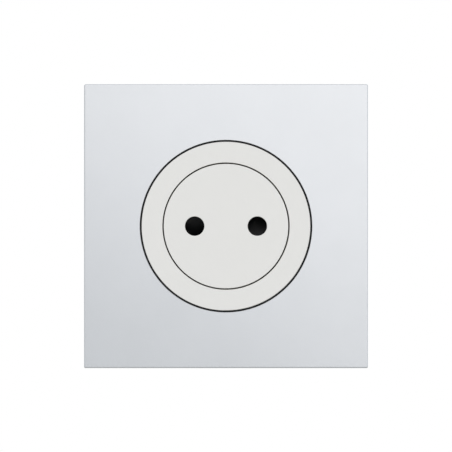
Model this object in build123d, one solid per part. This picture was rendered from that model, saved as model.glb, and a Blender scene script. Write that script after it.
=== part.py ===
from build123d import *
import math
import os

# A flush wall socket for plugs with two round pins, behind a square metal cover plate.
# The round face is a ring and a disc that lie level with the plate. A plug pushes the disc
# back into a round well against two springs, and its pins turn a shutter out of their way.
#
# Lengths are in millimetres. X points right and Z up, seen from the room. Y is the depth:
# zero is the face of the wall, negative stands out into the room, and positive goes into
# the flush box. The origin is midway between the box screws, on the face of the wall.

# Cover plate
plate_side = 86.0
plate_thickness = 3.0
plate_corner = 0.45
plate_edge = 0.40
plate_rim = 1.2
plate_recess = 1.0
projection = 8.0
plate_gap = 0.60

# Carrier behind the plate
carrier_fit = 0.10
carrier_wall = 1.6
collar_play = 0.15
collar_wall = 1.5
carrier_rib = 1.2
catch_width = 6.0
catch_leg = 1.4
catch_barb = 0.7
catch_reach = 1.9
catch_play = 0.15
catch_shift = 4.5

# Finishing ring with the liner of the well
well_radius = 19.28
band_width = 6.26
band_thickness = 2.0
rim_wall = 1.6
liner_wall = 2.0
liner_end_gap = 0.20
face_edge = 0.15
ring_rib = 1.0
ring_rib_count = 12
ring_foot_angle = 30.0
barb_front = 4.0
barb_length = 2.5
barb_height = 1.2
barb_width = 5.0

# Sliding disc
disc_gap = 0.42
disc_face = 2.2
disc_skirt = 1.5
shutter_room = 5.8
travel = 12.0
stop_gap = 0.30
lug_width = 4.0
lug_height = 1.7
lug_play = 0.20
seat_depth = 2.0
seat_width = 3.0
pivot_radius = 2.0
post_radius = 1.0

# Pin holes
pin_spacing = 19.0
pin_hole_radius = 2.94
pin_hole_edge = 0.12
pin_window_margin = 0.20

# Shutter and its spring
running_fit = 0.05
shutter_play = 0.20
sleeve_wall = 1.15
hub_radius = 5.6
hub_thickness = 2.8
wing_overlap = 0.5
wing_lap = 1.7
wing_thin_edge = 0.8
wing_root = 1.0
coil_wire = 0.40
coil_turns = 3
coil_pitch = 0.56
coil_play = 0.15
leg_reach = 4.4
fixed_leg_angle = -100.0

# Retainer behind the shutter
retainer_thickness = 1.5
retainer_play = 0.20
spigot_height = 2.0
spigot_play = 0.25

# Return springs
spring_radius = 2.7
spring_inset = 1.25
spring_wire = 0.50
spring_turns = 9
spring_packing = 1.25
pocket_play = 0.35
pocket_wall = 1.4

# Mounting frame
frame_thickness = 1.2
frame_border = 7.5
frame_fold = 2.0
frame_bend = 0.4
frame_fold_inset = 10.0
frame_corner = 3.0
frame_hole_gap = 0.40
box_screw_spacing = 60.0
box_screw_hole = 2.1
box_slot_length = 7.0
wall_screw_hole = 1.8
wall_screw_margin = 5.5

# Base, its tube and its rear shell
tube_fit = 0.10
tube_wall = 2.0
flange_width = 1.0
flange_thickness = 2.0
floor_thickness = 2.6
shell_step = 1.62
shell_wall = 1.6
access_corner = 1.0
tube_rib = 1.0
tube_rib_gap = 0.4
chamber_depth = 14.0
barrier = 1.6
boss_wall = 1.25
boss_sink = 0.6

# Rivets that hold the base to the frame
rivet_shank = 1.25
rivet_head = 1.9
rivet_head_height = 0.9
rivet_tail_height = 0.6
ear_margin = 1.6

# Contacts and terminals
bar_thickness = 0.8
bar_width = 5.0
bend_radius = 0.5
tongue_length = 9.0
tulip_length = 10.5
tulip_waist = 4.6
tulip_root = 2.6
tulip_grip = 2.05
tulip_lip = 2.45
leaf_thickness = 0.7
leaf_slot = 1.4
clip_thickness = 0.5
clip_height = 2.4
clip_play = 0.10
cage_wall = 1.0
cage_play = 0.20
cage_length = 7.0
cage_front = 1.5
wire_room = 2.6
wall_play = 0.20
channel_wall = 1.0
channel_depth = 8.0
terminal_screw = 1.5
terminal_head = 2.6
terminal_head_height = 1.8
terminal_lift = 1.2
terminal_edge_gap = 0.6

# Rear cover
cover_thickness = 2.5
cover_lip = 1.0
cover_lip_wall = 1.3
cover_play = 0.15
wire_hole = 1.6
wire_funnel = 0.8
panel_depth = 0.6
panel_rim = 2.5
panel_corner = 1.0
barrier_rib = 2.4

# Small screws
thread_play = 0.05
small_screw = 1.0
small_head = 2.0
small_head_height = 1.3
retainer_screw_length = 5.5
cover_screw_length = 9.0
drive_slot = 0.6

# Depths of the main faces
front = -projection
plate_back = front + plate_thickness
recess_floor = plate_back - plate_recess
web_back = recess_floor + carrier_wall
band_back = front + band_thickness
disc_face_back = front + disc_face
retainer_front = disc_face_back + shutter_room
disc_rear = retainer_front + retainer_thickness
floor_front = disc_rear + travel + stop_gap
floor_back = floor_front + floor_thickness
shell_back = floor_back + chamber_depth
cover_back = shell_back + cover_thickness
liner_back = floor_front - liner_end_gap
rivet_room = -(frame_thickness + rivet_head_height + stop_gap)
fold_front = -(frame_thickness + frame_fold)

# Radii that follow from each other
ring_radius = well_radius + band_width
opening_radius = ring_radius + plate_gap
disc_radius = well_radius - disc_gap
skirt_bore = disc_radius - disc_skirt
liner_radius = well_radius + liner_wall
tube_bore = liner_radius + tube_fit
tube_radius = tube_bore + tube_wall
shell_radius = tube_radius + shell_step
shell_bore = shell_radius - shell_wall
rivet_circle = tube_radius + rivet_head + stop_gap
rivet_offset = rivet_circle * math.cos(math.radians(45))
ear_radius = rivet_shank + ear_margin
pin_offset = pin_spacing / 2
sleeve_bore = pivot_radius + running_fit
sleeve_radius = sleeve_bore + sleeve_wall
coil_radius = sleeve_radius + coil_play + coil_wire / 2
wing_inner = hub_radius - wing_root
wing_radius = pin_offset + pin_hole_radius + wing_overlap
retainer_radius = skirt_bore - retainer_play
spring_offset = retainer_radius - spring_inset - spring_radius - spring_wire / 2
pocket_radius = spring_radius + spring_wire / 2 + pocket_play
pocket_outer = pocket_radius + pocket_wall
boss_radius = small_screw + thread_play + boss_wall
boss_offset = shell_bore + boss_sink - boss_radius

# Where the carrier's catches stand, just past the ears of the base
catch_inner = rivet_offset + ear_radius + stop_gap + catch_barb + catch_leg
catch_columns = (-rivet_offset - catch_shift, rivet_offset + catch_shift)

# Angles of the shutter, in degrees
hole_half_angle = math.degrees(math.asin(pin_hole_radius / pin_offset))
wing_half_angle = hole_half_angle + wing_lap
shutter_swing = wing_half_angle + hole_half_angle + wing_lap

# Sizes of the return springs and the terminals
spring_closed = spring_turns * spring_wire * spring_packing
spring_length = spring_closed + travel
pocket_floor = disc_rear + spring_length
terminal_top_radius = shell_bore - terminal_edge_gap
terminal_top = math.sqrt(terminal_top_radius**2 - (pin_offset + terminal_head) ** 2)
terminal_head_seat = terminal_top - terminal_head_height
cage_inner_high = terminal_head_seat - terminal_lift - cage_wall
tongue_offset = cage_inner_high - stop_gap - bar_thickness
cage_inner_width = bar_width + 2 * cage_play
cage_width = cage_inner_width + 2 * cage_wall
cage_inner_low = tongue_offset - wire_room
channel_half = cage_width / 2 + wall_play
terminal_depth = floor_back + cage_front + cage_length / 2
wire_offset = tongue_offset - wire_room / 2


def prism(outline, low, high):
    """An outline drawn parallel to the wall, carried from one depth to another."""
    return extrude(Plane.XZ.offset(-low) * outline, amount=high - low, dir=(0, 1, 0))


def turned(*profile):
    """A solid turned about the socket's axis from a profile of (radius, depth) points."""
    return revolve(make_face(Polyline(*profile, close=True)), axis=Axis.Y)


def spokes(radius, angles):
    """Places on a circle parallel to the wall, each with its x pointing away from the axis."""
    return [Rot(0, 0, angle) * Pos(radius, 0) for angle in angles]


def spread(shape, places):
    """One sketch that holds a copy of a shape at each place."""
    return Sketch() + [place * shape for place in places]


def across(profile, middle, width):
    """A profile drawn in (z, depth), carried across a width along X about a middle."""
    face = Plane(origin=(middle - width / 2, 0, 0), x_dir=(0, 0, 1), z_dir=(-1, 0, 0)) * profile
    return extrude(face, amount=width, dir=(1, 0, 0))


def coil(radius, wire, turns, start, length, place, start_angle=0.0):
    """A wire wound round an axis along Y, from one depth over a length."""
    path = Helix(pitch=length / turns, height=length, radius=radius)
    section = Plane(origin=path @ 0, z_dir=path % 0) * Circle(wire / 2)
    wound = sweep(section, path=path, is_frenet=True)
    return Pos(place[0], start, place[1]) * Rot(0, -start_angle, 0) * Rot(-90, 0, 0) * wound


def screw(head_radius, head_height, shank_radius, shank_length):
    """A slotted screw that stands on Z, with the underside of its head at zero."""
    head = extrude(Circle(head_radius), amount=head_height)
    head = fillet(head.edges().group_by(Axis.Z)[-1], min(0.4, head_height / 3))
    slot = Box(2 * head_radius, drive_slot, head_height / 2)
    head -= Pos(0, 0, head_height) * slot
    tip = min(0.3, shank_radius / 3)
    shank = extrude(Circle(shank_radius), amount=-shank_length)
    shank = chamfer(shank.edges().group_by(Axis.Z)[0], tip)
    return head + shank


def make_cover_plate():
    """The square metal plate, with a round opening and a recess that seats the carrier."""
    plate = prism(RectangleRounded(plate_side, plate_side, plate_corner), front, plate_back)
    plate = fillet(plate.edges().group_by(Axis.Y)[0], min(plate_edge, plate_corner * 0.9))
    seat_side = plate_side - 2 * plate_rim
    plate -= prism(Rectangle(seat_side, seat_side), recess_floor, plate_back)
    plate -= prism(Circle(opening_radius), front, plate_back)
    return plate


def make_plate_carrier():
    """The moulded frame behind the plate: web, side walls, collar, ribs and four catches."""
    side = plate_side - 2 * (plate_rim + carrier_fit)
    hollow = side - 2 * carrier_wall
    collar_bore = ring_radius + collar_play
    collar_radius = collar_bore + collar_wall
    carrier = prism(Rectangle(side, side), recess_floor, 0)
    carrier -= prism(Rectangle(hollow, hollow), web_back, 0)
    ribs = spread(Rectangle(plate_side * 2, carrier_rib), spokes(0, (0, 45, 90, 135)))
    ribs = ribs & Rectangle(hollow, hollow)
    carrier += prism(ribs, web_back, fold_front - catch_play)
    carrier += prism(Circle(collar_radius), web_back, rivet_room)
    carrier -= prism(Circle(collar_bore), recess_floor, 0)
    for along in catch_columns:
        for up in (-1, 1):
            carrier += make_catch(along, up)
    return carrier


def make_catch(along, up):
    """A leg from the carrier's web through a slot in the frame, with a barb behind it."""
    leg = Pos(up * (catch_inner + catch_leg / 2), (web_back + catch_reach) / 2)
    leg = leg * Rectangle(catch_leg, catch_reach - web_back)
    barb = make_face(Polyline(
        (up * catch_inner, catch_play),
        (up * (catch_inner - catch_barb), catch_play),
        (up * catch_inner, catch_reach),
        close=True,
    ))
    return across(leg + barb, along, catch_width)


def make_finishing_ring():
    """The visible ring, its rim that stands on the frame, and the liner of the well."""
    ring = turned(
        (well_radius, front),
        (ring_radius, front),
        (ring_radius, rivet_room),
        (ring_radius - rim_wall, rivet_room),
        (ring_radius - rim_wall, band_back),
        (liner_radius, band_back),
        (liner_radius, liner_back),
        (well_radius, liner_back),
    )
    ring = fillet(ring.edges().group_by(Axis.Y)[0], face_edge)
    feet = Circle(ring_radius) - Circle(ring_radius - rim_wall)
    reach = ring_radius * math.sin(math.radians(ring_foot_angle / 2))
    feet = feet & (Rectangle(2 * reach, 3 * ring_radius) + Rectangle(3 * ring_radius, 2 * reach))
    ring += prism(feet, rivet_room, -frame_thickness)
    angles = [360 / ring_rib_count * (number + 0.5) for number in range(ring_rib_count)]
    middle = (liner_radius + ring_radius - rim_wall) / 2
    length = ring_radius - rim_wall - liner_radius + 0.2
    ribs = spread(Rectangle(length, ring_rib), spokes(middle, angles))
    ring += prism(ribs, band_back, rivet_room)
    slot = Rectangle(2 * liner_wall + 2, lug_width + 2 * lug_play)
    slots = spread(slot, spokes(well_radius + liner_wall / 2, (45, 135, 225, 315)))
    ring -= prism(slots, disc_rear - lug_height - lug_play / 2, liner_back)
    barb_face = Polyline(
        (liner_radius - 0.5, barb_front),
        (liner_radius + barb_height, barb_front),
        (liner_radius, barb_front + barb_length),
        (liner_radius - 0.5, barb_front + barb_length),
        close=True,
    )
    barb = extrude(Plane.XY * make_face(barb_face), amount=barb_width / 2, both=True)
    for angle in (0, 90, 180, 270):
        ring += Rot(0, angle, 0) * barb
    return ring


def make_moving_disc():
    """The disc with the pin holes, its skirt, guide lugs, shutter pivot, seats and posts."""
    disc = turned(
        (0, front),
        (disc_radius, front),
        (disc_radius, disc_rear),
        (skirt_bore, disc_rear),
        (skirt_bore, disc_face_back),
        (0, disc_face_back),
    )
    disc = fillet(disc.edges().group_by(Axis.Y)[0], face_edge)
    diagonals = (45, 135, 225, 315)
    lug_radius = liner_radius - stop_gap
    lug_start = skirt_bore + disc_skirt / 2
    lug = Rectangle(lug_radius - lug_start, lug_width)
    lugs = spread(lug, spokes((lug_radius + lug_start) / 2, diagonals))
    disc += prism(lugs, disc_rear - lug_height, disc_rear)
    seat = Rectangle(seat_depth, seat_width)
    seats = spread(seat, spokes(skirt_bore - seat_depth / 2 + 0.2, diagonals))
    disc += prism(seats, disc_face_back, retainer_front)
    disc += prism(Circle(pivot_radius), disc_face_back, retainer_front)
    pilot = retainer_screw_length - retainer_thickness + thread_play
    disc -= prism(Circle(small_screw + thread_play), retainer_front - pilot, retainer_front)
    stops = spread(Circle(post_radius), post_places())
    disc += prism(stops, disc_face_back, retainer_front - shutter_play)
    for offset in (-pin_offset, pin_offset):
        disc -= Pos(offset, 0, 0) * turned(
            (0, front),
            (pin_hole_radius + pin_hole_edge, front),
            (pin_hole_radius, front + pin_hole_edge),
            (pin_hole_radius, disc_face_back),
            (0, disc_face_back),
        )
    return disc


def post_places():
    """Places of the posts that stop the shutter at each end and hold the spring's leg."""
    stop_circle = pin_offset + pin_hole_radius
    lean = math.degrees(math.asin((post_radius + coil_play) / stop_circle))
    rest = wing_half_angle + lean
    opened = -(shutter_swing + wing_half_angle + lean)
    leg_circle = wing_inner + leg_reach / 2
    leg_lean = math.degrees(math.asin((post_radius + coil_wire / 2 + thread_play) / leg_circle))
    places = spokes(stop_circle, (rest, opened, rest + 180, opened + 180))
    return places + spokes(leg_circle, (fixed_leg_angle - leg_lean,))


def make_shutter():
    """The turning shutter: a sleeve on the pivot, a hub and two wings with sloping faces."""
    low = disc_face_back + shutter_play
    high = retainer_front - shutter_play
    shutter = prism(Circle(sleeve_radius), low, high)
    shutter += prism(Circle(hub_radius), high - hub_thickness, high)
    half_width = wing_radius * math.sin(math.radians(wing_half_angle))
    far = 2 * wing_radius
    rise = far * math.tan(math.radians(wing_half_angle))
    wedge = make_face(Polyline((0, 0), (far, -rise), (far, rise), close=True))
    sector = (Circle(wing_radius) - Circle(wing_inner)) & wedge
    wing = prism(sector, low, high)
    cut = make_face(Polyline(
        (-half_width, low),
        (half_width, high - wing_thin_edge),
        (far, high - wing_thin_edge),
        (far, low - far),
        (-half_width, low - far),
        close=True,
    ))
    wing -= across(cut, wing_radius, far)
    shutter += wing
    shutter += Rot(0, 180, 0) * wing
    shutter -= prism(Circle(sleeve_bore), low, high)
    return shutter


def make_shutter_spring():
    """The small torsion spring round the shutter's sleeve, with two straight legs."""
    start = disc_face_back + shutter_play + coil_wire
    moving_leg_angle = -(wing_half_angle + 4.0)
    turn = (moving_leg_angle - fixed_leg_angle) / 360
    turns = coil_turns + turn
    length = coil_pitch * turns
    spring = coil(coil_radius, coil_wire, turns, start, length, (0, 0), fixed_leg_angle)
    for angle, depth in ((fixed_leg_angle, start), (moving_leg_angle, start + length)):
        end = wing_inner + leg_reach
        leg = Pos(coil_radius, depth, 0) * Rot(0, 90, 0) * Cylinder(
            coil_wire / 2, end - coil_radius, align=(Align.CENTER, Align.CENTER, Align.MIN)
        )
        elbow = Pos(coil_radius, depth, 0) * Sphere(coil_wire / 2)
        spring += Rot(0, -angle, 0) * (leg + elbow)
    return spring


def make_shutter_retainer():
    """The plate that closes the back of the disc, with a spigot for each return spring."""
    retainer = prism(Circle(retainer_radius), retainer_front, disc_rear)
    spigot = Circle(spring_radius - spring_wire / 2 - spigot_play)
    spigots = spread(spigot, [Pos(0, -spring_offset), Pos(0, spring_offset)])
    retainer += prism(spigots, disc_rear, disc_rear + spigot_height)
    window = Circle(pin_hole_radius + pin_window_margin)
    windows = spread(window, [Pos(-pin_offset, 0), Pos(pin_offset, 0)])
    retainer -= prism(windows, retainer_front, disc_rear)
    retainer -= prism(Circle(small_screw + 3 * thread_play), retainer_front, disc_rear)
    return retainer


def make_retainer_screw():
    """The screw in the middle of the retainer, driven from behind into the pivot."""
    made = screw(small_head, small_head_height, small_screw, retainer_screw_length)
    return Pos(0, disc_rear, 0) * Rot(-90, 0, 0) * made


def make_return_spring(side):
    """One of the two springs that bring the disc forward, above or below the axis."""
    start = disc_rear + spring_wire / 2
    length = spring_length - spring_wire
    place = (0, side * spring_offset)
    return coil(spring_radius, spring_wire, spring_turns, start, length, place)


def make_mounting_frame():
    """The steel frame: a sheet with four folded sides, screw holes and catch slots."""
    side = plate_side - 2 * frame_border
    bend_outside = frame_bend + frame_thickness
    sheet_side = side - 2 * bend_outside
    frame = prism(RectangleRounded(sheet_side, sheet_side, frame_corner), -frame_thickness, 0)
    edge = side / 2
    overlap = 2 * frame_bend + frame_thickness
    fold = make_face(Polyline(
        (edge - bend_outside - overlap, 0),
        (edge, 0),
        (edge, fold_front),
        (edge - frame_thickness, fold_front),
        (edge - frame_thickness, -frame_thickness),
        (edge - bend_outside - overlap, -frame_thickness),
        close=True,
    ))
    outer = fold.vertices().sort_by_distance(Vector(edge, 0, 0))[0]
    inner_point = Vector(edge - frame_thickness, -frame_thickness, 0)
    fold = fillet(outer, bend_outside)
    fold = fillet(fold.vertices().sort_by_distance(inner_point)[0], frame_bend)
    folded_side = across(fold, 0, side - 2 * frame_fold_inset)
    for angle in (0, 90, 180, 270):
        frame += Rot(0, angle, 0) * folded_side
    frame -= prism(Circle(liner_radius + frame_hole_gap), -frame_thickness, 0)
    half = box_screw_spacing / 2
    slots = spread(SlotOverall(box_slot_length, 2 * box_screw_hole), [Pos(-half, 0), Pos(half, 0)])
    frame -= prism(slots, -frame_thickness, 0)
    holes = spread(Circle(box_screw_hole), [Pos(0, -half), Pos(0, half)])
    frame -= prism(holes, -frame_thickness, 0)
    corner = side / 2 - wall_screw_margin
    corners = [Pos(along, up) for along in (-corner, corner) for up in (-corner, corner)]
    frame -= prism(spread(Circle(wall_screw_hole), corners), -frame_thickness, 0)
    rivets = spread(Circle(rivet_shank + thread_play), rivet_places())
    frame -= prism(rivets, -frame_thickness, 0)
    slot_height = catch_barb + catch_leg + 2 * stop_gap
    slot_middle = catch_inner + (catch_leg - catch_barb) / 2
    places = [Pos(along, up * slot_middle) for along in catch_columns for up in (-1, 1)]
    slot = Rectangle(catch_width + 2 * stop_gap, slot_height)
    frame -= prism(spread(slot, places), -frame_thickness, 0)
    return frame


def rivet_places():
    """Places of the four rivets, on the diagonals."""
    return spokes(rivet_circle, (45, 135, 225, 315))


def make_frame_rivets():
    """The four tubular rivets, each with a low head in front and a rolled edge behind."""
    shank_back = flange_thickness
    profile = make_face(Polyline(
        (0, -frame_thickness - rivet_head_height),
        (rivet_head * 0.6, -frame_thickness - rivet_head_height),
        (rivet_head, -frame_thickness - rivet_head_height / 3),
        (rivet_head, -frame_thickness),
        (rivet_shank, -frame_thickness),
        (rivet_shank, shank_back),
        (rivet_head * 0.9, shank_back),
        (rivet_head * 0.7, shank_back + rivet_tail_height),
        (rivet_shank * 0.5, shank_back + rivet_tail_height),
        (rivet_shank * 0.5, shank_back / 2),
        (0, shank_back / 2),
        close=True,
    ))
    rivet = revolve(profile, axis=Axis.Y)
    return [Rot(0, angle, 0) * Pos(rivet_circle, 0, 0) * rivet for angle in (45, 135, 225, 315)]


def make_socket_base():
    """The moulded base: tube, flange with ears, floor and the rear shell with its walls."""
    base = turned(
        (tube_bore, 0),
        (tube_radius + flange_width, 0),
        (tube_radius + flange_width, flange_thickness),
        (tube_radius, flange_thickness),
        (tube_radius, floor_front),
        (shell_radius, floor_back),
        (shell_radius, shell_back),
        (shell_bore, shell_back),
        (shell_bore, floor_back),
        (0, floor_back),
        (0, floor_front),
        (tube_bore, floor_front),
    )
    ears = spread(Circle(ear_radius), rivet_places())
    neck = Rectangle(rivet_circle - tube_radius + tube_wall / 2, 2 * ear_radius)
    ears += spread(neck, spokes((rivet_circle + tube_radius - tube_wall / 2) / 2, (45, 135, 225, 315)))
    base += prism(ears, 0, flange_thickness)
    rib_length = flange_width - tube_rib_gap + tube_wall / 2
    rib_place = tube_radius - tube_wall / 2 + rib_length / 2
    angles = [22.5 + 45 * number for number in range(8)]
    ribs = spread(Rectangle(rib_length, tube_rib), spokes(rib_place, angles))
    base += prism(ribs, flange_thickness, floor_front + floor_thickness / 2)
    base += make_base_walls()
    springs = [Pos(0, -spring_offset), Pos(0, spring_offset)]
    base += prism(spread(Circle(pocket_outer), springs), floor_back, pocket_floor + pocket_wall)
    base -= prism(spread(Circle(pocket_radius), springs), floor_front, pocket_floor)
    bosses = [Pos(0, -boss_offset), Pos(0, boss_offset)]
    base += prism(spread(Circle(boss_radius), bosses), floor_back, shell_back)
    pilots = spread(Circle(small_screw + thread_play), bosses)
    base -= prism(pilots, shell_back - cover_screw_length - stop_gap, shell_back)
    base -= prism(spread(Circle(rivet_shank + thread_play), rivet_places()), 0, flange_thickness)
    head_recess = small_head_height - stop_gap + 2 * shutter_play
    base -= prism(Circle(small_head + stop_gap), floor_front, floor_front + head_recess)
    lead = pin_hole_radius / 4
    window = pin_hole_radius + pin_window_margin
    for offset in (-pin_offset, pin_offset):
        base -= Pos(offset, 0, 0) * turned(
            (0, floor_front),
            (window + lead, floor_front),
            (window, floor_front + lead),
            (window, floor_back),
            (0, floor_back),
        )
    barb_window = Box(
        3 * tube_wall,
        barb_length + 2 * carrier_fit,
        barb_width + 2 * lug_play,
        align=(Align.CENTER, Align.MIN, Align.CENTER),
    )
    for angle in (0, 90, 180, 270):
        base -= Rot(0, angle, 0) * Pos(tube_radius, barb_front - carrier_fit, 0) * barb_window
    access = RectangleRounded(2 * (terminal_head + stop_gap), cage_length, access_corner)
    access = extrude(access, amount=shell_radius)
    for offset in (-pin_offset, pin_offset):
        base -= Pos(offset, terminal_depth, terminal_head_seat) * access
        base -= Pos(offset, terminal_depth, -terminal_head_seat) * Rot(180, 0, 0) * access
    return base


def make_base_walls():
    """The wall between the poles, and the two walls of the channel that holds each contact."""
    outer = channel_half + channel_wall
    reach = cage_inner_high + cage_wall + wall_play
    channel = Rectangle(2 * outer, 2 * reach) - Rectangle(2 * channel_half, 2 * reach)
    channels = spread(channel, [Pos(-pin_offset, 0), Pos(pin_offset, 0)])
    walls = prism(channels & Circle(shell_bore), floor_back, floor_back + channel_depth)
    middle = Rectangle(barrier, 3 * shell_radius) & Circle(shell_bore + shell_wall / 2)
    return walls + prism(middle, floor_back, shell_back)


def make_contact(offset):
    """A brass contact: a bar on the floor, a tongue at each end and a tulip for the pin."""
    end = tongue_offset + bar_thickness
    outside = Pos(0, floor_back + tongue_length / 2) * Rectangle(2 * end, tongue_length)
    inside_height = tongue_length - bar_thickness
    inside = Pos(0, floor_back + bar_thickness + inside_height / 2)
    inside = inside * Rectangle(2 * tongue_offset, inside_height)
    outside = fillet(outside.vertices().group_by(Axis.Y)[0], bend_radius + bar_thickness)
    inside = fillet(inside.vertices().group_by(Axis.Y)[0], bend_radius)
    contact = across(outside - inside, offset, bar_width)
    pad = prism(Circle(channel_half - stop_gap), floor_back, floor_back + bar_thickness)
    root = floor_back + bar_thickness / 2
    waist = floor_back + tulip_waist
    tip = floor_back + tulip_length
    bends = [(-0.3, 1), (0, 1), (0.2, 1)]
    inside = [(tulip_root, root), (tulip_grip, waist), (tulip_lip, tip)]
    outside = [(radius + leaf_thickness, depth) for radius, depth in inside]
    inner = Spline(*inside, tangents=bends)
    outer = Spline(*outside, tangents=bends)
    ends = [Line(inner @ 0, outer @ 0), Line(inner @ 1, outer @ 1)]
    tulip = revolve(make_face([inner, outer] + ends), axis=Axis.Y)
    slot_length = tulip_length - 2 * bar_thickness
    slot = Pos(0, tip - slot_length / 2, 0) * Box(4 * tulip_root, slot_length, leaf_slot)
    contact += Pos(offset, 0, 0) * (pad + (tulip - slot))
    contact -= Pos(offset, 0, 0) * prism(Circle(tulip_root), floor_back, floor_back + bar_thickness)
    return contact


def make_contact_clip(offset):
    """The open steel ring that presses the leaves of a tulip together."""
    inner = tulip_grip + leaf_thickness + clip_play
    outline = Circle(inner + clip_thickness) - Circle(inner)
    outline -= Pos(inner, 0) * Rectangle(2 * inner, leaf_slot)
    low = floor_back + tulip_waist - clip_height / 2
    return Pos(offset, 0, 0) * prism(outline, low, low + clip_height)


def make_terminal_cage(offset, up):
    """The steel cage round a tongue, which the terminal screw draws up against the wire."""
    low = cage_inner_low - cage_wall
    high = cage_inner_high + cage_wall
    outside = Pos(offset, up * (low + high) / 2) * Rectangle(cage_width, high - low)
    inside = Pos(offset, up * (cage_inner_low + cage_inner_high) / 2)
    inside = inside * Rectangle(cage_inner_width, cage_inner_high - cage_inner_low)
    start = floor_back + cage_front
    cage = prism(outside - inside, start, start + cage_length)
    hole = Cylinder(terminal_screw + thread_play, 3 * cage_wall)
    cage -= Pos(offset, terminal_depth, up * (cage_inner_high + cage_wall / 2)) * hole
    return cage


def make_terminal_screws():
    """The four screws of the terminals, driven from above and below the socket."""
    shank = terminal_head_seat - (tongue_offset + bar_thickness)
    made = screw(terminal_head, terminal_head_height, terminal_screw, shank)
    screws = []
    for offset in (-pin_offset, pin_offset):
        screws.append(Pos(offset, terminal_depth, terminal_head_seat) * made)
        screws.append(Pos(offset, terminal_depth, -terminal_head_seat) * Rot(180, 0, 0) * made)
    return screws


def make_rear_cover():
    """The insulating cover: a hole for each wire, and a sunk panel behind each pole."""
    cover = prism(Circle(shell_radius), shell_back, cover_back)
    cover = fillet(cover.edges().group_by(Axis.Y)[-1], face_edge)
    lip = Circle(shell_bore - cover_play) - Circle(shell_bore - cover_play - cover_lip_wall)
    lip -= Rectangle(2 * (boss_radius + stop_gap), 3 * shell_radius)
    cover += prism(lip, shell_back - cover_lip, shell_back)
    for offset in (-pin_offset, pin_offset):
        for up in (-1, 1):
            cover -= Pos(offset, 0, up * wire_offset) * turned(
                (0, shell_back),
                (wire_hole, shell_back),
                (wire_hole, cover_back - wire_funnel),
                (wire_hole + wire_funnel, cover_back),
                (0, cover_back),
            )
    panel_height = 2 * (wire_offset - wire_hole - wire_funnel - panel_rim)
    panels = Circle(shell_radius - panel_rim) & Rectangle(2 * shell_radius, panel_height)
    panels -= Rectangle(barrier_rib, panel_height)
    panels = fillet(panels.vertices(), panel_corner)
    cover -= prism(panels, cover_back - panel_depth, cover_back)
    places = [Pos(0, -boss_offset), Pos(0, boss_offset)]
    cover -= prism(spread(Circle(small_screw + 3 * thread_play), places), shell_back, cover_back)
    recesses = spread(Circle(small_head + stop_gap), places)
    cover -= prism(recesses, cover_back - small_head_height, cover_back)
    return cover


def make_cover_screws():
    """The two screws that hold the rear cover."""
    made = screw(small_head, small_head_height, small_screw, cover_screw_length)
    under_head = cover_back - small_head_height
    turn = Rot(-90, 0, 0)
    return [Pos(0, under_head, up * boss_offset) * turn * made for up in (-1, 1)]


parts = {
    "cover_plate": make_cover_plate(),
    "plate_carrier": make_plate_carrier(),
    "finishing_ring": make_finishing_ring(),
    "moving_disc": make_moving_disc(),
    "shutter": make_shutter(),
    "shutter_spring": make_shutter_spring(),
    "shutter_retainer": make_shutter_retainer(),
    "retainer_screw": make_retainer_screw(),
    "return_spring_top": make_return_spring(1),
    "return_spring_bottom": make_return_spring(-1),
    "mounting_frame": make_mounting_frame(),
    "frame_rivets": Compound(children=make_frame_rivets()),
    "socket_base": make_socket_base(),
    "left_contact": make_contact(-pin_offset),
    "right_contact": make_contact(pin_offset),
    "left_contact_clip": make_contact_clip(-pin_offset),
    "right_contact_clip": make_contact_clip(pin_offset),
    "left_top_terminal": make_terminal_cage(-pin_offset, 1),
    "left_bottom_terminal": make_terminal_cage(-pin_offset, -1),
    "right_top_terminal": make_terminal_cage(pin_offset, 1),
    "right_bottom_terminal": make_terminal_cage(pin_offset, -1),
    "terminal_screws": Compound(children=make_terminal_screws()),
    "rear_cover": make_rear_cover(),
    "cover_screws": Compound(children=make_cover_screws()),
}

os.makedirs("parts", exist_ok=True)
for name, shape in parts.items():
    export_step(shape, f"parts/{name}.step")

print("shutter swing in degrees", round(shutter_swing, 3))
print("depth behind the wall", round(cover_back, 3))
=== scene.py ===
import math

import bmesh
import bpy
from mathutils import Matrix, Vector


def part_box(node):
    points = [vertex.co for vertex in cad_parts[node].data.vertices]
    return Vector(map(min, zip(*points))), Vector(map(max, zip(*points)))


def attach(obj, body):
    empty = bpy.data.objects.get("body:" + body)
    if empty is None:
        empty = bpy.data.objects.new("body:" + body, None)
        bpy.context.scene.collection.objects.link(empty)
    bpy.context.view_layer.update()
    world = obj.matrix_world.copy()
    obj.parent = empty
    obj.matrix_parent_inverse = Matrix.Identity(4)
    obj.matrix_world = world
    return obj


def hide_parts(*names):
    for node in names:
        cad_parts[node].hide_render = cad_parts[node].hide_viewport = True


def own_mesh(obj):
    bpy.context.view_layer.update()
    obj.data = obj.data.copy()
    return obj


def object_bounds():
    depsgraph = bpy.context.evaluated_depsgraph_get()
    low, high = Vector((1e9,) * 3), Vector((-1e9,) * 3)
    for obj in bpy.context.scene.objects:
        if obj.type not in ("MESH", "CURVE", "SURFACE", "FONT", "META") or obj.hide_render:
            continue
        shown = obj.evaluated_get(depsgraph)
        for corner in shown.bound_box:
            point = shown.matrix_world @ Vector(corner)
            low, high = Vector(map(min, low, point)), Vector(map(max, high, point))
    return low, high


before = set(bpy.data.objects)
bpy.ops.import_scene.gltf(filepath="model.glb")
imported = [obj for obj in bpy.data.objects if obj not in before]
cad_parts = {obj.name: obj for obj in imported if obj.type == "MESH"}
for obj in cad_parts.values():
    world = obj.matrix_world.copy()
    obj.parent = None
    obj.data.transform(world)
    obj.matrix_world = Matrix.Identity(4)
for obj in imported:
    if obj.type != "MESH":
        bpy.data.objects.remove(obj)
cad_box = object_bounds()

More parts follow.
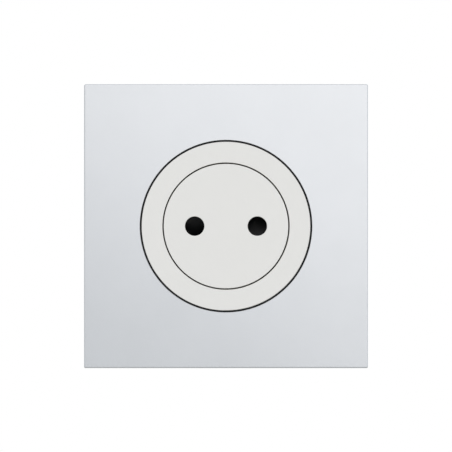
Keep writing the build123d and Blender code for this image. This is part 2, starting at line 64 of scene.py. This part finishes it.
# A flush wall socket: a square cover plate of satin anodised aluminium, with a round
# off-white face of a ring and a disc. All lengths are in metres, and MM is one millimetre.
# The room is on the side of minus Y, and the flush box on the side of plus Y.

MM = 0.001

# The photograph: its size, the middle of the plate in it, and its scale at the plate's face
photo_pixels = 452
plate_middle_pixel = (226.0, 226.15)
pixels_per_mm = 3.303

# The floor: how far it lies under the socket, its radius, and where it fades into the room,
# measured from the socket
floor_drop = 0.8
floor_radius = 4.8
fade_start = 1.9
fade_end = 4.7


def linear(hex_colour):
    """A colour as painters write it, #RRGGBB in sRGB, turned to the linear values of a shader."""
    channels = [int(hex_colour[place:place + 2], 16) / 255 for place in (1, 3, 5)]
    lit = [c / 12.92 if c <= 0.04045 else ((c + 0.055) / 1.055) ** 2.4 for c in channels]
    return (*lit, 1.0)


def add(tree, kind, options=None, inputs=None):
    """Adds a node with its options, and sets or links its inputs by name or number."""
    made = tree.nodes.new(kind)
    for name, value in (options or {}).items():
        setattr(made, name, value)
    for name, value in (inputs or {}).items():
        if isinstance(value, bpy.types.NodeSocket):
            tree.links.new(value, made.inputs[name])
        else:
            made.inputs[name].default_value = value
    return made


def new_material(name):
    """A material with its own shader. Returns the material, its tree and the shader node."""
    material = bpy.data.materials.new(name)
    material.use_nodes = True
    shader = material.node_tree.nodes["Principled BSDF"]
    return material, material.node_tree, shader


def grain(tree, size, detail=2.0, stretch=(1.0, 1.0, 1.0)):
    """A noise over the object whose spots are about as large as size, in metres."""
    place = add(tree, "ShaderNodeTexCoord").outputs["Object"]
    turned = add(tree, "ShaderNodeMapping", inputs={"Vector": place, "Scale": stretch})
    settings = {"Vector": turned.outputs["Vector"], "Scale": 1.0 / size, "Detail": detail}
    return add(tree, "ShaderNodeTexNoise", inputs=settings).outputs["Fac"]


def spread_over(tree, pattern, low, high):
    """Turns a pattern's middle range into a value between low and high."""
    limits = {"Value": pattern, "From Min": 0.3, "From Max": 0.7, "To Min": low, "To Max": high}
    return add(tree, "ShaderNodeMapRange", inputs=limits).outputs["Result"]


def two_tones(tree, pattern, first, second):
    """A colour that drifts between two tones as the pattern does."""
    share = spread_over(tree, pattern, 0.0, 1.0)
    mix = add(tree, "ShaderNodeMix", {"data_type": "RGBA"}, {"Factor": share})
    mix.inputs["A"].default_value = linear(first)
    mix.inputs["B"].default_value = linear(second)
    return mix.outputs["Result"]


def relief(tree, shader, pattern, height, strength):
    """Raises and sinks the surface a little, height metres at most."""
    settings = {"Height": pattern, "Distance": height, "Strength": strength}
    bump = add(tree, "ShaderNodeBump", inputs=settings)
    tree.links.new(bump.outputs["Normal"], shader.inputs["Normal"])


def satin_anodised_aluminium():
    """Blasted, anodised sheet: a cool, silky metal with a very fine grain and no brush lines."""
    material, tree, shader = new_material("satin_anodised_aluminium")
    shader.inputs["Metallic"].default_value = 1.0
    # The blasting leaves pits of some 0.05 mm. They are drawn 0.3 mm wide, so that they show.
    pits = grain(tree, 0.3 * MM, detail=3.0)
    # The oxide layer is never quite even: clouds of about 12 mm in the silkiness.
    clouds = grain(tree, 12 * MM)
    tone = two_tones(tree, clouds, "#D7D9DA", "#D9DBDC")
    tree.links.new(tone, shader.inputs["Base Color"])
    rough = spread_over(tree, pits, 0.31, 0.36)
    tree.links.new(rough, shader.inputs["Roughness"])
    relief(tree, shader, pits, 0.004 * MM, 0.25)
    return material


def dry_moulding(name, first, second):
    """ABS or polyamide from an eroded mould: soft and even, with a fine dry texture."""
    material, tree, shader = new_material(name)
    # The eroded mould's grain is near 0.08 mm. It is drawn 0.25 mm wide, so that it shows.
    texture = grain(tree, 0.25 * MM, detail=3.0)
    drift = grain(tree, 9 * MM)
    tree.links.new(two_tones(tree, drift, first, second), shader.inputs["Base Color"])
    tree.links.new(spread_over(tree, texture, 0.52, 0.62), shader.inputs["Roughness"])
    shader.inputs["IOR"].default_value = 1.5
    relief(tree, shader, texture, 0.006 * MM, 0.2)
    return material


def smooth_moulding(name, first, second, gloss):
    """ABS or polyamide from a smooth mould: a faint sheen, with flow marks a few mm long."""
    material, tree, shader = new_material(name)
    flow = grain(tree, 3 * MM, detail=4.0, stretch=(1.0, 0.4, 1.0))
    texture = grain(tree, 0.2 * MM)
    tree.links.new(two_tones(tree, flow, first, second), shader.inputs["Base Color"])
    tree.links.new(spread_over(tree, flow, 0.42, 0.55), shader.inputs["Roughness"])
    shader.inputs["IOR"].default_value = 1.52
    shader.inputs["Specular IOR Level"].default_value = gloss
    relief(tree, shader, texture, 0.005 * MM, 0.25)
    return material


def natural_nylon():
    """Uncoloured moulded nylon: milky and slightly yellow, and it lets some light in."""
    material, tree, shader = new_material("natural_moulded_nylon")
    flow = grain(tree, 4 * MM, detail=3.0)
    tree.links.new(two_tones(tree, flow, "#D8D0B8", "#E2DAC6"), shader.inputs["Base Color"])
    tree.links.new(spread_over(tree, flow, 0.38, 0.5), shader.inputs["Roughness"])
    shader.inputs["IOR"].default_value = 1.53
    shader.inputs["Subsurface Weight"].default_value = 0.15
    shader.inputs["Subsurface Radius"].default_value = (0.6, 0.5, 0.35)
    shader.inputs["Subsurface Scale"].default_value = 1.0 * MM
    relief(tree, shader, grain(tree, 0.3 * MM), 0.004 * MM, 0.2)
    return material


def zinc_plated_steel(name, marks_size, marks_stretch, marks_height):
    """Steel with a bright zinc coat: bluish, with straw-coloured clouds and the maker's marks."""
    material, tree, shader = new_material(name)
    shader.inputs["Metallic"].default_value = 1.0
    clouds = grain(tree, 6 * MM, detail=3.0)
    tree.links.new(two_tones(tree, clouds, "#C4CAD2", "#D2CFC4"), shader.inputs["Base Color"])
    marks = grain(tree, marks_size, detail=3.0, stretch=marks_stretch)
    tree.links.new(spread_over(tree, marks, 0.24, 0.4), shader.inputs["Roughness"])
    relief(tree, shader, marks, marks_height, 0.3)
    return material


def spring_wire():
    """Drawn spring steel: a smooth grey wire with fine drawing streaks and a tight gloss."""
    material, tree, shader = new_material("drawn_spring_steel")
    shader.inputs["Metallic"].default_value = 1.0
    streaks = grain(tree, 0.2 * MM)
    tree.links.new(two_tones(tree, streaks, "#A9ABAE", "#C2C3C5"), shader.inputs["Base Color"])
    tree.links.new(spread_over(tree, streaks, 0.2, 0.34), shader.inputs["Roughness"])
    relief(tree, shader, streaks, 0.001 * MM, 0.3)
    return material


def stamped_brass():
    """Stamped contact brass: warm yellow metal, dulled a little, with light handling marks."""
    material, tree, shader = new_material("stamped_contact_brass")
    shader.inputs["Metallic"].default_value = 1.0
    tarnish = grain(tree, 2.5 * MM, detail=4.0)
    tree.links.new(two_tones(tree, tarnish, "#D9B566", "#C79A4A"), shader.inputs["Base Color"])
    tree.links.new(spread_over(tree, tarnish, 0.24, 0.38), shader.inputs["Roughness"])
    relief(tree, shader, grain(tree, 0.15 * MM), 0.003 * MM, 0.25)
    return material


def matt_floor_paint():
    """Matt studio paint: pale and even, and faded out into the white room at its rim."""
    material, tree, shader = new_material("rolled_matt_floor_paint")
    # A paint roller leaves a stipple about 4 mm across.
    stipple = grain(tree, 4 * MM)
    tree.links.new(two_tones(tree, stipple, "#CDCDCB", "#D0D0CE"), shader.inputs["Base Color"])
    shader.inputs["Roughness"].default_value = 0.8
    place = add(tree, "ShaderNodeTexCoord").outputs["Object"]
    reach = add(tree, "ShaderNodeVectorMath", {"operation": "LENGTH"}, {0: place})
    limits = {"Value": reach.outputs["Value"], "From Min": fade_start, "From Max": fade_end}
    rim = add(tree, "ShaderNodeMapRange", {"interpolation_type": "SMOOTHSTEP"}, limits)
    clear = add(tree, "ShaderNodeBsdfTransparent")
    layers = {0: rim.outputs["Result"], 1: shader.outputs["BSDF"], 2: clear.outputs["BSDF"]}
    faded = add(tree, "ShaderNodeMixShader", inputs=layers)
    surface = tree.nodes["Material Output"].inputs["Surface"]
    tree.links.new(faded.outputs["Shader"], surface)
    return material


def nickel_plated_steel():
    """Nickel plate on pressed steel: a bright metal, faintly warm, with soft press marks."""
    material, tree, shader = new_material("nickel_plated_pressed_steel")
    shader.inputs["Metallic"].default_value = 1.0
    marks = grain(tree, 0.8 * MM, detail=3.0)
    tree.links.new(two_tones(tree, marks, "#CFCBC2", "#BDB8AD"), shader.inputs["Base Color"])
    tree.links.new(spread_over(tree, marks, 0.16, 0.3), shader.inputs["Roughness"])
    relief(tree, shader, marks, 0.01 * MM, 0.25)
    return material


plate_metal = satin_anodised_aluminium()
face_plastic = dry_moulding("off_white_moulded_abs", "#F2F0EA", "#F3F1EB")
base_plastic = dry_moulding("white_moulded_polyamide", "#D8D7D0", "#DAD9D3")
shutter_plastic = smooth_moulding("black_moulded_polyamide", "#0A0A0B", "#101011", gloss=0.3)
carrier_plastic = smooth_moulding("dark_grey_moulded_abs", "#1B1C1E", "#202123", gloss=0.4)
retainer_plastic = natural_nylon()
# The sheet's roll lines run along X: long in X, and 0.15 mm wide across it.
sheet_steel = zinc_plated_steel(
    "zinc_plated_rolled_sheet",
    marks_size=0.15 * MM,
    marks_stretch=(0.02, 1.0, 1.0),
    marks_height=0.004 * MM,
)
# The screws' heads are upset and their threads rolled, which leaves soft, shallow spots.
screw_steel = zinc_plated_steel(
    "zinc_plated_upset_screws",
    marks_size=0.5 * MM,
    marks_stretch=(1.0, 1.0, 1.0),
    marks_height=0.002 * MM,
)
wire_steel = spring_wire()
contact_brass = stamped_brass()
rivet_metal = nickel_plated_steel()

finishes = {
    "cover_plate": plate_metal,
    "plate_carrier": carrier_plastic,
    "finishing_ring": face_plastic,
    "moving_disc": face_plastic,
    "shutter": shutter_plastic,
    "shutter_spring": wire_steel,
    "shutter_retainer": retainer_plastic,
    "mounting_frame": sheet_steel,
    "frame_rivets": rivet_metal,
    "socket_base": base_plastic,
    "left_contact": contact_brass,
    "right_contact": contact_brass,
    "left_contact_clip": wire_steel,
    "right_contact_clip": wire_steel,
    "left_top_terminal": sheet_steel,
    "left_bottom_terminal": sheet_steel,
    "right_top_terminal": sheet_steel,
    "right_bottom_terminal": sheet_steel,
    "rear_cover": base_plastic,
}


def dress(node, material):
    """Gives a piece of the frame its finish."""
    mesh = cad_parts[node].data
    mesh.materials.clear()
    mesh.materials.append(material)


for node, material in finishes.items():
    dress(node, material)


def show_instead(node, shape, material, body):
    """A new piece with a shape of its own, shown in the place of a node of the frame."""
    mesh = bpy.data.meshes.new(node + "_detailed")
    shape.to_mesh(mesh)
    shape.free()
    mesh.materials.clear()
    mesh.materials.append(material)
    piece = bpy.data.objects.new(node + "_detailed", mesh)
    bpy.context.scene.collection.objects.link(piece)
    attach(piece, body)
    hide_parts(node)
    return piece


def put_in_order(shape):
    """Lists a shape's vertices and faces by place, because spin makes them in a chance order."""
    for parts, place in (
        (shape.verts, lambda vertex: vertex.co[:]),
        (shape.faces, lambda face: face.calc_center_median()[:]),
    ):
        for rank, part in enumerate(sorted(parts, key=place)):
            part.index = rank
        parts.sort()


# The return springs: their wire, their open coils, and the steps in which a coil and the
# wire's round are drawn
wire = 0.5 * MM
open_coils = 7
steps_per_coil = 28
wire_sides = 14


def make_return_spring(node):
    """A coil spring wound along Y in the place of a node, with a closed coil at each end."""
    low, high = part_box(node)
    middle = (low + high) / 2
    radius = (high.x - low.x) / 2 - wire / 2
    length = (high.y - low.y) - wire
    closed_pitch = 1.05 * wire
    open_pitch = (length - 2 * closed_pitch) / open_coils
    spring = bmesh.new()
    circle = bmesh.ops.create_circle(spring, cap_ends=True, radius=wire / 2, segments=wire_sides)
    start = Vector((middle.x + radius, low.y + wire / 2, middle.z))
    bmesh.ops.translate(spring, vec=start, verts=circle["verts"])
    moving = list(spring.verts) + list(spring.edges) + list(spring.faces)
    for turns, pitch in ((1, closed_pitch), (open_coils, open_pitch), (1, closed_pitch)):
        grown = bmesh.ops.spin(
            spring,
            geom=moving,
            cent=(middle.x, 0, middle.z),
            axis=(0, 1, 0),
            dvec=(0, pitch / steps_per_coil, 0),
            angle=2 * math.pi * turns,
            steps=steps_per_coil * turns,
        )
        moving = grown["geom_last"]
    edges = [edge for edge in spring.edges if edge.is_boundary]
    bmesh.ops.holes_fill(spring, edges=edges, sides=0)
    bmesh.ops.recalc_face_normals(spring, faces=spring.faces)
    put_in_order(spring)
    piece = show_instead(node, spring, wire_steel, "housing")
    piece.data.shade_smooth()
    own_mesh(piece)


# The threads: a groove is half as deep as its pitch, and is drawn in eight rows a turn. Lengths
# that differ by less than near count as equal, and points within same_place of each other are
# one point. A bend over the sharp angle stays an edge.
groove_depth = 0.5
rows_per_turn = 8
near = 0.01 * MM
same_place = 0.001 * MM
sharp_angle = math.radians(35)


def separate_solids(shape):
    """The vertices of each closed solid in a shape, one list for each."""
    solids = []
    seen = set()
    for first in shape.verts:
        if first in seen:
            continue
        seen.add(first)
        solid = [first]
        # The list grows while the loop walks along it, until the whole solid is in it.
        for vertex in solid:
            for edge in vertex.link_edges:
                other = edge.other_vert(vertex)
                if other not in seen:
                    seen.add(other)
                    solid.append(other)
        solids.append(solid)
    return solids


def middle_of(solid):
    """The middle of the box round a solid's vertices."""
    places = [[vertex.co[number] for vertex in solid] for number in range(3)]
    return Vector([(min(place) + max(place)) / 2 for place in places])


def across(vertex, middle, axis):
    """The way from an axis through the middle straight out to a vertex."""
    way = vertex.co - middle
    way[axis] = 0.0
    return way


def wind_threads(shape, axis, shank, pitch):
    """Gives the screws in a shape right-hand threads, with the crests on their plain shanks."""
    middles = []
    straight = []
    slanting = []
    for solid in separate_solids(shape):
        middle = middle_of(solid)
        rims = {vertex for vertex in solid
                if abs(across(vertex, middle, axis).length - shank) < near}
        heights = [vertex.co[axis] for vertex in rims]
        length = max(heights) - min(heights)
        middle[axis] = min(heights) + length / 2
        middles.append(middle)
        for edge in shape.edges:
            if rims.issuperset(edge.verts):
                first, second = edge.verts
                aside = across(first, middle, axis) - across(second, middle, axis)
                if aside.length < near:
                    straight.append(edge)
                elif abs(first.co[axis] - second.co[axis]) > pitch:
                    slanting.append(edge)
    # The slanting edges only halve the shanks' walls, so they go before the walls are cut.
    bmesh.ops.dissolve_edges(shape, edges=slanting, use_verts=False)
    rows = round(length / pitch * rows_per_turn)
    cut = bmesh.ops.subdivide_edges(shape, edges=straight, cuts=rows - 1, use_grid_fill=True)
    for vertex in cut["geom_inner"]:
        if isinstance(vertex, bmesh.types.BMVert):
            middle = min(middles, key=lambda place: (vertex.co - place).length)
            height = vertex.co[axis] - middle[axis] + length / 2
            way = across(vertex, middle, axis)
            turn = height / pitch - math.atan2(way[axis - 1], way[axis - 2]) / (2 * math.pi)
            groove = 1 - abs(2 * (turn % 1) - 1)
            # The groove runs out over one turn at each end of the shank.
            full = min(1.0, height / pitch, (length - height) / pitch)
            vertex.co -= way.normalized() * (groove_depth * pitch * groove * full)


def make_threaded_screws(node, body, axis, shank, pitch):
    """The screws of a node with real threads, which stand along an axis: 1 is Y and 2 is Z."""
    shape = bmesh.new()
    shape.from_mesh(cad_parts[node].data)
    bmesh.ops.remove_doubles(shape, verts=shape.verts, dist=same_place)
    wind_threads(shape, axis, shank, pitch)
    bmesh.ops.recalc_face_normals(shape, faces=shape.faces)
    piece = show_instead(node, shape, screw_steel, body)
    shading = piece.data.attributes.get("custom_normal")
    if shading:
        piece.data.attributes.remove(shading)
    piece.data.shade_smooth()
    piece.data.set_sharp_from_angle(angle=sharp_angle)


for node in ("return_spring_top", "return_spring_bottom"):
    make_return_spring(node)

make_threaded_screws("terminal_screws", "housing", axis=2, shank=1.5 * MM, pitch=0.5 * MM)
make_threaded_screws("cover_screws", "housing", axis=1, shank=1.0 * MM, pitch=0.4 * MM)
make_threaded_screws("retainer_screw", "disc", axis=1, shank=1.0 * MM, pitch=0.4 * MM)


def make_floor():
    """The round, pale floor, so far under the socket that a view from below is free."""
    plane = bmesh.new()
    bmesh.ops.create_circle(plane, cap_ends=True, radius=floor_radius, segments=96)
    bmesh.ops.translate(plane, vec=(0, 0, -floor_drop), verts=plane.verts)
    mesh = bpy.data.meshes.new("floor")
    plane.to_mesh(mesh)
    plane.free()
    floor = bpy.data.objects.new("floor", mesh)
    bpy.context.scene.collection.objects.link(floor)
    mesh.materials.append(matt_floor_paint())


def make_panel(name, colour, size, power, place, turn):
    """A soft square panel of light, turned by X, Y and Z angles from facing the floor."""
    light = bpy.data.lights.new(name, "AREA")
    light.shape = "SQUARE"
    light.color = linear(colour)[:3]
    light.size = size
    light.energy = power
    lamp = bpy.data.objects.new(name, light)
    lamp.location = place
    lamp.rotation_euler = [math.radians(angle) for angle in turn]
    lamp.visible_camera = False
    bpy.context.scene.collection.objects.link(lamp)


def make_lights():
    """A panel beside the camera for the plate's sheen, and one behind the socket."""
    # The plate mirrors the edge of the front panel, which runs from upper left to lower right,
    # so that the sheen grows from the plate's lower left corner to its upper right.
    lean = 58.0
    size = 0.7
    start = -0.04
    distance = 0.75
    middle = start + size / 2
    along = math.cos(math.radians(lean)) * middle
    up = math.sin(math.radians(lean)) * middle
    make_panel(
        "front_panel",
        "#FFFAF8",
        size=size,
        power=0.92,
        place=(along, -distance, up),
        turn=(90, -lean, 0),
    )
    make_panel(
        "back_panel",
        "#FFFFFF",
        size=0.8,
        power=1.6,
        place=(-0.6, 0.8, 0.6),
        turn=(-59, 0, 37),
    )


def make_surroundings():
    """A tent of pale cloth round the socket. The camera itself sees plain white behind it."""
    world = bpy.data.worlds.new("studio")
    bpy.context.scene.world = world
    world.use_nodes = True
    tree = world.node_tree
    tree.nodes.clear()
    way = add(tree, "ShaderNodeTexCoord").outputs["Generated"]
    # Where a direction points: 0 is straight behind the wall, 0.5 is along the wall, and 1 is
    # straight out to the camera.
    out = add(tree, "ShaderNodeVectorMath", {"operation": "DOT_PRODUCT"}, {0: way})
    out.inputs[1].default_value = (0.0, -0.5, 0.0)
    place = add(tree, "ShaderNodeMath", {"operation": "ADD"}, {0: out.outputs["Value"], 1: 0.5})
    cloth = add(tree, "ShaderNodeValToRGB", inputs={"Fac": place.outputs["Value"]})
    stops = cloth.color_ramp.elements
    # Each place with the cloth's brightness there: darkest along the wall, which draws the
    # plate's edges, and dim round the camera, whose mirror image the plate shows.
    for where, bright in ((0.36, 0.92), (0.5, 0.55), (0.725, 0.87), (0.88, 1.09), (0.965, 0.79)):
        stops.new(where).color = (bright, bright, bright, 1.0)
    stops[0].color = (0.92, 0.92, 0.92, 1.0)
    stops[-1].color = (0.775, 0.775, 0.775, 1.0)
    # It is a little brighter to the right and above than to the left and below.
    tilt = add(tree, "ShaderNodeVectorMath", {"operation": "DOT_PRODUCT"}, {0: way})
    tilt.inputs[1].default_value = (0.09, 0.0, 0.06)
    parts = {0: cloth.outputs["Color"], 1: tilt.outputs["Value"]}
    level = add(tree, "ShaderNodeMath", {"operation": "ADD"}, parts)
    room = add(tree, "ShaderNodeBackground", inputs={"Strength": level.outputs["Value"]})
    room.inputs["Color"].default_value = linear("#F7FAFF")
    white = add(tree, "ShaderNodeBackground", inputs={"Strength": 1.0})
    white.inputs["Color"].default_value = linear("#FFFFFF")
    seen = add(tree, "ShaderNodeLightPath").outputs["Is Camera Ray"]
    shown = {0: seen, 1: room.outputs["Background"], 2: white.outputs["Background"]}
    mix = add(tree, "ShaderNodeMixShader", inputs=shown)
    add(tree, "ShaderNodeOutputWorld", inputs={"Surface": mix.outputs["Shader"]})


def make_camera():
    """The photograph's viewpoint: straight in front of the plate, from well back."""
    camera = bpy.data.cameras.new("camera")
    camera.sensor_width = 36.0
    camera.lens = 150.0
    view_width = photo_pixels / pixels_per_mm * MM
    distance = view_width * camera.lens / camera.sensor_width
    face = cad_box[0].y
    off_x = (photo_pixels / 2 - plate_middle_pixel[0]) / pixels_per_mm * MM
    off_z = (plate_middle_pixel[1] - photo_pixels / 2) / pixels_per_mm * MM
    camera.clip_start = 0.01
    camera.clip_end = 20.0
    seat = bpy.data.objects.new("camera", camera)
    seat.location = (off_x, face - distance, off_z)
    seat.rotation_euler = (math.radians(90), 0, 0)
    bpy.context.scene.collection.objects.link(seat)
    bpy.context.scene.camera = seat


make_floor()
make_surroundings()
make_lights()
make_camera()
bpy.context.scene.view_settings.view_transform = "Standard"
